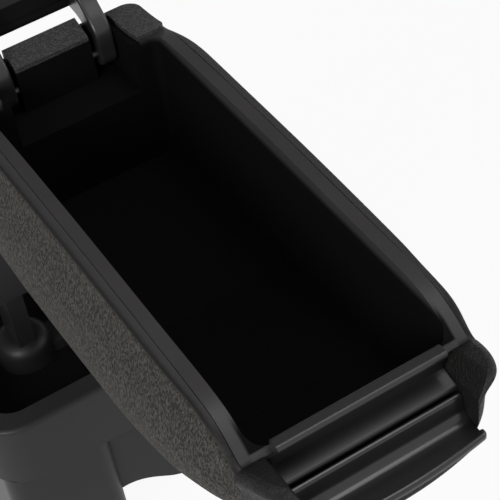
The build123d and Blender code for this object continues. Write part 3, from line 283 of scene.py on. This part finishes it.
def grained_finish(name, colour, scale, depth, roughness, contrast, band=None):
    material, tree, shader, coords = finish_material(name, specular=0.20)
    grain = place_group(tree, leather_grain, coords, Scale=scale)
    mould = place_group(tree, mould_texture, coords, Scale=2600.0)
    height, crease_shade, shade = (grain.outputs[label] for label in ("Height", "CreaseShade", "Shade"))
    strength = grain_strength
    if band:
        # The band beside the parting line is smooth
        upward = split_axes(tree, coords.outputs["Normal"])[2]
        side = fade(tree, upward, grain_start)
        strength = times(tree, side, grain_strength)
        crease_shade = times(tree, side, crease_shade)
        shade = plus(tree, times(tree, side, calc(tree, "SUBTRACT", shade, 0.5)), 0.5)
    # Painted light on the raised folds and painted shade in their hollows, then painted shade in the
    # creases
    body = shaded(tree, shade, colour, 1.0 - contrast, 1.0 + contrast)
    skin = tint(tree, crease_shade, body, scaled(colour, crease_shade_scale))
    if band:
        # Painted shade makes it darkest where the grain starts, and a painted sheen makes it paler
        # towards the parting line
        skin = tint(tree, side, tint(tree, spread(tree, upward, band_shade_to_sheen), *band), skin)
    tree.links.new(skin, shader.inputs["Base Color"])
    tree.links.new(spread(tree, height, full_range, roughness + 0.12, roughness - 0.06),
                   shader.inputs["Roughness"])
    relief = plus(tree, height, times(tree, mould.outputs["Height"], grain_mould_share))
    tree.links.new(bump(tree, relief, depth, strength), shader.inputs["Normal"])
    return material


def moulded_finish(name, colour, roughness, specular, coat=0.0, coat_roughness=0.3, depth=0.00006):
    material, tree, shader, coords = finish_material(name, specular, coat, coat_roughness)
    mould = place_group(tree, mould_texture, coords, Scale=2200.0, Patch=20.0)
    tone = mould.outputs["Tone"]
    tree.links.new(shaded(tree, tone, colour, 0.92, 1.08), shader.inputs["Base Color"])
    tree.links.new(spread(tree, tone, full_range, roughness - 0.04, roughness + 0.05),
                   shader.inputs["Roughness"])
    tree.links.new(bump(tree, mould.outputs["Height"], depth, 0.5), shader.inputs["Normal"])
    return material


# Where the tray's finish changes, in metres: half widths, then places along Y, then heights
bin_half = (0.0535, 0.0555)
bay_half = (0.0405, 0.0425)
bin_front = (-0.2846, -0.2838)
bar_rear = (-0.2850, -0.2842)
ledge_rear = (-0.2860, -0.2850)
bay_front = (-0.030, -0.012)
bin_top = (0.3265, 0.3330)
ledge_top = (0.3190, 0.3210)
bay_rise = 0.012


def tray_finish(name, rim_colour, bar_colour, ledge_shade_colour, bin_shade_colour):
    # Satin rim, bar and ledge; the bin below the rim is dull, and its colour is darkened as painted
    # shade
    material, tree, shader, coords = finish_material(name, specular=0.06)
    mould = place_group(tree, mould_texture, coords, Scale=2200.0, Patch=16.0)
    x, y, z = split_axes(tree, coords.outputs["Object"])
    across = calc(tree, "ABSOLUTE", x)
    between = fade(tree, across, bin_half)
    # Painted shade in the hinge bay between the arms' pockets reaches up to the deck
    bay = times(tree, spread(tree, y, bay_front, 0.0, bay_rise), fade(tree, across, bay_half))
    below = fade(tree, calc(tree, "SUBTRACT", z, bay), bin_top)
    bin_shade_and_dull = times(tree, times(tree, between, spread(tree, y, bin_front)), below)
    bar = times(tree, between, fade(tree, y, bar_rear))
    # Painted shade on the ledge under the bar
    ledge = times(tree, fade(tree, y, ledge_rear), fade(tree, z, ledge_top))
    skin = shaded(tree, mould.outputs["Tone"], rim_colour, 0.92, 1.08)
    skin = tint(tree, bar, skin, bar_colour)
    skin = tint(tree, ledge, skin, ledge_shade_colour)
    # Painted shade in the bin
    tree.links.new(tint(tree, bin_shade_and_dull, skin, bin_shade_colour), shader.inputs["Base Color"])
    tree.links.new(spread(tree, bin_shade_and_dull, full_range, 0.40, 0.75), shader.inputs["Roughness"])
    gloss = plus(tree, spread(tree, bin_shade_and_dull, full_range, 0.25, 0.0), times(tree, bar, 0.5))
    tree.links.new(gloss, shader.inputs["Coat Weight"])
    tree.links.new(bump(tree, mould.outputs["Height"], 0.00005, 0.4), shader.inputs["Normal"])
    return material


# The base's open tray, in metres: half width, half length, floor and mouth
base_tray_half = (0.1090, 0.1110)
base_tray_reach = (0.0515, 0.0535)
base_tray_floor = (0.1195, 0.1215)
base_tray_mouth = (0.1460, 0.1490)


def base_finish(name, colour, tray_shade_colour):
    # Satin outside; the open tray on top is dull, and its colour is darkened as painted shade under the
    # armrest
    material, tree, shader, coords = finish_material(name, specular=0.10, coat_roughness=0.35)
    mould = place_group(tree, mould_texture, coords, Scale=2000.0, Patch=15.0)
    x, y, z = split_axes(tree, coords.outputs["Object"])
    across = fade(tree, calc(tree, "ABSOLUTE", x), base_tray_half)
    along = fade(tree, calc(tree, "ABSOLUTE", y), base_tray_reach)
    upright = times(tree, spread(tree, z, base_tray_floor), fade(tree, z, base_tray_mouth))
    tray = times(tree, times(tree, across, along), upright)
    skin = shaded(tree, mould.outputs["Tone"], colour, 0.93, 1.07)
    # Painted shade in the open tray under the armrest
    tree.links.new(tint(tree, tray, skin, tray_shade_colour), shader.inputs["Base Color"])
    tree.links.new(spread(tree, tray, full_range, 0.46, 0.80), shader.inputs["Roughness"])
    tree.links.new(spread(tree, tray, full_range, 0.16, 0.0), shader.inputs["Coat Weight"])
    tree.links.new(bump(tree, mould.outputs["Height"], 0.00009, 0.5), shader.inputs["Normal"])
    return material


# Turning marks run round the X axis, close together along it
turning_marks = (3000.0, 120.0, 120.0)
turning_range = (0.2, 0.8)


def turned_steel_finish(name, colour, roughness):
    material, tree, shader, coords = finish_material(name, specular=0.5, metallic=1.0)
    stretch = tree.nodes.new("ShaderNodeMapping")
    stretch.inputs["Scale"].default_value = turning_marks
    tree.links.new(coords.outputs["Object"], stretch.inputs["Vector"])
    rings = tree.nodes.new("ShaderNodeTexNoise")
    rings.inputs["Scale"].default_value = 1.0
    rings.inputs["Detail"].default_value = 3.0
    tree.links.new(stretch.outputs["Vector"], rings.inputs["Vector"])
    marks = rings.outputs["Fac"]
    tree.links.new(shaded(tree, marks, colour, 0.8, 1.15), shader.inputs["Base Color"])
    tree.links.new(spread(tree, marks, turning_range, roughness - 0.08, roughness + 0.1),
                   shader.inputs["Roughness"])
    tree.links.new(bump(tree, marks, 0.00004, 0.4), shader.inputs["Normal"])
    return material


# The shell's band colours are painted shade where the grain starts and a painted sheen at the parting
# line; the smooth band's own colour is darker than the grain
shell_grain = grained_finish(
    "shell_grain", (0.053, 0.0498, 0.0430), scale=1250.0, depth=0.00100, roughness=0.62, contrast=0.85,
    band=((0.0065, 0.0062, 0.0064), (0.038, 0.0363, 0.0374)))
cap_grain = grained_finish(
    "cap_grain", (0.0062, 0.0061, 0.0058), scale=1000.0, depth=0.00040, roughness=0.50, contrast=0.3)
cover_grain = grained_finish(
    "cover_grain", (0.054, 0.054, 0.055), scale=800.0, depth=0.00060, roughness=0.50, contrast=0.3)
pad_leather = grained_finish(
    "pad_leather", (0.030, 0.0292, 0.0283), scale=700.0, depth=0.00060, roughness=0.44, contrast=0.15)
# The bin colour is painted shade in the bin, and the ledge colour is painted shade under the bar
tray_satin = tray_finish(
    "tray_satin", rim_colour=(0.0455, 0.0432, 0.0445), bar_colour=(0.022, 0.0210, 0.0215),
    ledge_shade_colour=(0.0115, 0.0110, 0.0113), bin_shade_colour=(0.0030, 0.0030, 0.0030))
# The base's tray colour is painted shade under the armrest
base_satin = base_finish("base_satin", (0.0280, 0.0280, 0.0285), tray_shade_colour=(0.0018, 0.0018, 0.0018))
grip_satin = moulded_finish(
    "grip_satin", (0.0085, 0.0081, 0.0083), roughness=0.36, specular=0.08, coat=0.9, coat_roughness=0.20)
arm_satin = moulded_finish(
    "arm_satin", (0.016, 0.0155, 0.016), roughness=0.40, specular=0.15, coat=0.55, coat_roughness=0.25)
lid_matte = moulded_finish("lid_matte", (0.005, 0.005, 0.005), roughness=0.62, specular=0.10)
liner_satin = moulded_finish("liner_satin", (0.024, 0.024, 0.024), roughness=0.50, specular=0.20)
pivot_satin = moulded_finish("pivot_satin", (0.014, 0.014, 0.0145), roughness=0.42, specular=0.22)
nylon_white = moulded_finish("nylon_white", (0.52, 0.51, 0.47), roughness=0.55, specular=0.4)
rubber_black = moulded_finish(
    "rubber_black", (0.022, 0.022, 0.022), roughness=0.80, specular=0.2, depth=0.00012)
bright_steel = turned_steel_finish("bright_steel", (0.50, 0.50, 0.50), roughness=0.32)
black_steel = turned_steel_finish("black_steel", (0.060, 0.060, 0.062), roughness=0.42)

finishes = [
    (shell_grain, ["outer_shell"]),
    (cap_grain, ["front_cap"]),
    (cover_grain, ["rear_cover"]),
    (pad_leather, ["lid_pad"]),
    (tray_satin, ["storage_tray"]),
    (base_satin, ["base_adapter"]),
    (grip_satin, ["front_grip", "latch_lever"]),
    (arm_satin, ["hinge_arm_left", "hinge_arm_right"]),
    (lid_matte, ["lid_panel"]),
    (liner_satin, ["lid_liner"]),
    (pivot_satin, ["pivot_bracket", "tilt_bracket"]),
    (nylon_white, ["axle_bushes", "friction_washers"]),
    (rubber_black, ["stop_buffers", "lid_bumpers"]),
    (bright_steel, ["latch_pin", "latch_spring", "tilt_axle", "axle_nuts"]),
    (black_steel, ["lid_hinge_pin_left", "lid_hinge_pin_right", "tray_screws", "arm_screws",
                   "bracket_screws", "pedestal_screws"]),
]
for finish, names in finishes:
    for name in names:
        part = nodes[name]
        if not part.material_slots:
            part.data.materials.append(finish)
        for slot in part.material_slots:
            slot.material = finish


# Lid cushion: foam under leatherette, made lying flat in the lid's own directions and then stood
# up with the lid. Along Y it runs from the hinge to the lid's front; its padded face looks to -Z.
pad_half = 0.0640
pad_from = 0.0230
pad_to = 0.3036
pad_seat = 0.0271
pad_front_seat = 0.0197
pad_crown = 0.0462
pad_rim = 0.0405
pad_rear_corner = 0.015
pad_front_corner = 0.003
dip_from = 0.274
dip_to = 0.293
foam_grid = 0.0045
seat_hold = 0.004
swell_frames = 20
swell_limit = 0.0028
lid_turn = radians(82.0)
lid_hinge_spot = (0, 0.016, 0.313)
touch = 1e-4
same_place = 1e-5


def deselect_all():
    bpy.ops.object.select_all(action="DESELECT")


def pick(mesh_object, kind, test):
    # Selects corners or edges by their place and stays in edit mode
    bpy.ops.object.mode_set(mode="EDIT")
    bpy.ops.mesh.select_mode(type=kind)
    bpy.ops.mesh.select_all(action="DESELECT")
    bpy.ops.object.mode_set(mode="OBJECT")
    mesh = mesh_object.data
    if kind == "VERT":
        for v in mesh.vertices:
            v.select = test(v.co)
    else:
        for e in mesh.edges:
            a, b = (mesh.vertices[i].co for i in e.vertices)
            e.select = test(a, b)
    bpy.ops.object.mode_set(mode="EDIT")


def upright_edge(a, b):
    return abs(a.x - b.x) < same_place and abs(a.y - b.y) < same_place


deselect_all()
pad_middle = (pad_from + pad_to) / 2
pad_length = pad_to - pad_from
pad_thick = pad_crown - pad_seat
bpy.ops.mesh.primitive_cube_add(size=1.0, location=(0, pad_middle, -(pad_seat + pad_crown) / 2))
cushion = bpy.context.object
cushion.name = "lid_cushion"
cushion.scale = (2 * pad_half, pad_length, pad_thick)
bpy.ops.object.transform_apply(location=True, rotation=False, scale=True)

# Its underside steps down to the lid's lower front, and its corners are rounded
bpy.ops.object.mode_set(mode="EDIT")
for station in (dip_from, dip_to):
    bpy.ops.mesh.select_all(action="SELECT")
    bpy.ops.mesh.bisect(plane_co=(0, station, 0), plane_no=(0, 1, 0))
pick(cushion, "VERT", lambda co: co.y > dip_to - touch and co.z > -pad_seat - touch)
bpy.ops.transform.translate(value=(0, 0, pad_seat - pad_front_seat))
pick(cushion, "EDGE", lambda a, b: upright_edge(a, b) and a.y < pad_from + touch)
bpy.ops.mesh.bevel(offset=pad_rear_corner, segments=6, affect="EDGES")
pick(cushion, "EDGE", lambda a, b: upright_edge(a, b) and a.y > pad_to - touch)
bpy.ops.mesh.bevel(offset=pad_front_corner, segments=3, affect="EDGES")
bpy.ops.object.mode_set(mode="OBJECT")
remesh = cushion.modifiers.new("even_mesh", "REMESH")
remesh.mode = "VOXEL"
remesh.voxel_size = foam_grid
bpy.ops.object.modifier_apply(modifier="even_mesh")

# The foam falls away towards its edges before it is filled
for v in cushion.data.vertices:
    side = min(1.0, abs(v.co.x) / pad_half)
    end = min(1.0, abs(v.co.y - pad_middle) / (pad_length / 2))
    fall = (pad_crown - pad_rim) * max(side ** 4, 0.9 * end ** 8)
    share = max(0.0, min(1.0, (-v.co.z - pad_seat) / pad_thick))
    v.co.z += fall * share

# Filled under its cover, with its seat held and the swelling limited
start = [v.co.copy() for v in cushion.data.vertices]
held = cushion.vertex_groups.new(name="seat")
seated = [v.index for v in cushion.data.vertices if v.co.z > -pad_seat - seat_hold]
held.add(seated, 1.0, "REPLACE")
swell = cushion.modifiers.new("swell", "CLOTH")
swell.settings.quality = 5
swell.settings.use_pressure = True
swell.settings.uniform_pressure_force = 4.0
swell.settings.effector_weights.gravity = 0.0
swell.settings.vertex_group_mass = "seat"
for step in range(1, swell_frames + 1):
    scene.frame_set(step)
bpy.ops.object.modifier_apply(modifier="swell")
scene.frame_set(1)
for v, first in zip(cushion.data.vertices, start):
    move = v.co - first
    if move.length > swell_limit:
        v.co = first + move * (swell_limit / move.length)
smooth = cushion.modifiers.new("even_out", "SMOOTH")
smooth.factor = 0.5
smooth.iterations = 4
bpy.ops.object.modifier_apply(modifier="even_out")
finer = cushion.modifiers.new("finer", "SUBSURF")
finer.levels = 1
finer.render_levels = 1
bpy.ops.object.modifier_apply(modifier="finer")
bpy.ops.object.shade_smooth()

# Stood up with the open lid
cushion.rotation_euler = (lid_turn, 0, 0)
cushion.location = lid_hinge_spot
bpy.ops.object.transform_apply(location=True, rotation=True, scale=True)
cushion.data.materials.clear()
cushion.data.materials.append(pad_leather)
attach(cushion, "lid")
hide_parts("lid_pad")


# Pale floor under the feet, white where the camera sees it, keeping a soft shadow
white = (1.0, 1.0, 1.0, 1.0)
floor_grey = (0.60, 0.60, 0.60, 1.0)
floor_size = 6.0
floor_drop = 0.0005
floor_white_share = 0.94

deselect_all()
bpy.ops.mesh.primitive_plane_add(size=floor_size, location=(0, 0, -floor_drop))
floor = bpy.context.object
floor.name = "studio_floor"
paper = bpy.data.materials.new("floor_paper")
paper.use_nodes = True
tree = paper.node_tree
plain = tree.nodes["Principled BSDF"]
plain.inputs["Base Color"].default_value = floor_grey
plain.inputs["Roughness"].default_value = 0.9
plain.inputs["Specular IOR Level"].default_value = 0.1
glow = tree.nodes.new("ShaderNodeEmission")
glow.inputs["Color"].default_value = white
glow.inputs["Strength"].default_value = 1.0
path = tree.nodes.new("ShaderNodeLightPath")
seen = larger(tree, path.outputs["Is Camera Ray"], path.outputs["Is Glossy Ray"])
seen = larger(tree, seen, path.outputs["Is Transmission Ray"])
blend = tree.nodes.new("ShaderNodeMixShader")
tree.links.new(times(tree, seen, floor_white_share), blend.inputs["Fac"])
tree.links.new(plain.outputs["BSDF"], blend.inputs[1])
tree.links.new(glow.outputs["Emission"], blend.inputs[2])
tree.links.new(blend.outputs["Shader"], tree.nodes["Material Output"].inputs["Surface"])
floor.data.materials.append(paper)


# Soft studio light

def lamp(name, spot, aim, size, watts):
    data = bpy.data.lights.new(name, "AREA")
    data.shape = "RECTANGLE"
    data.size, data.size_y = size
    data.energy = watts
    light = bpy.data.objects.new(name, data)
    scene.collection.objects.link(light)
    light.location = spot
    light.rotation_euler = (Vector(aim) - Vector(spot)).to_track_quat("-Z", "Y").to_euler()


lamp("key_left", spot=(-1.05, -0.85, 0.95), aim=(0, -0.25, 0.28), size=(0.6, 0.6), watts=13)
lamp("fill_right", spot=(1.3, -0.7, 1.3), aim=(0, -0.1, 0.3), size=(1.0, 1.0), watts=5)
lamp("top_soft", spot=(0.35, -0.25, 1.7), aim=(0, -0.3, 0.3), size=(0.9, 0.4), watts=4)


# Studio room: white to the camera. In reflections it is white all round at eye level, and overhead
# it is brighter in front of the armrest than behind it.
wall_fade = (0.12, 0.42)
overhead_fade = (-0.35, 0.60)
overhead_rear = 0.10
room_light = 0.25

world = bpy.data.worlds.new("studio")
scene.world = world
world.use_nodes = True
tree = world.node_tree
around = tree.nodes["Background"]
around.inputs["Color"].default_value = white
path = tree.nodes.new("ShaderNodeLightPath")
heading = tree.nodes.new("ShaderNodeTexCoord")
_, along, upward = split_axes(tree, heading.outputs["Generated"])
wall = fade(tree, upward, wall_fade)
overhead = spread(tree, along, overhead_fade, 1.0, overhead_rear)
dome = larger(tree, wall, overhead)
direct = path.outputs["Is Camera Ray"]
mirrored = larger(tree, path.outputs["Is Glossy Ray"], path.outputs["Is Transmission Ray"])
seen = larger(tree, direct, times(tree, mirrored, dome))
unseen = calc(tree, "SUBTRACT", 1.0, larger(tree, direct, mirrored))
tree.links.new(larger(tree, seen, times(tree, unseen, room_light)), around.inputs["Strength"])
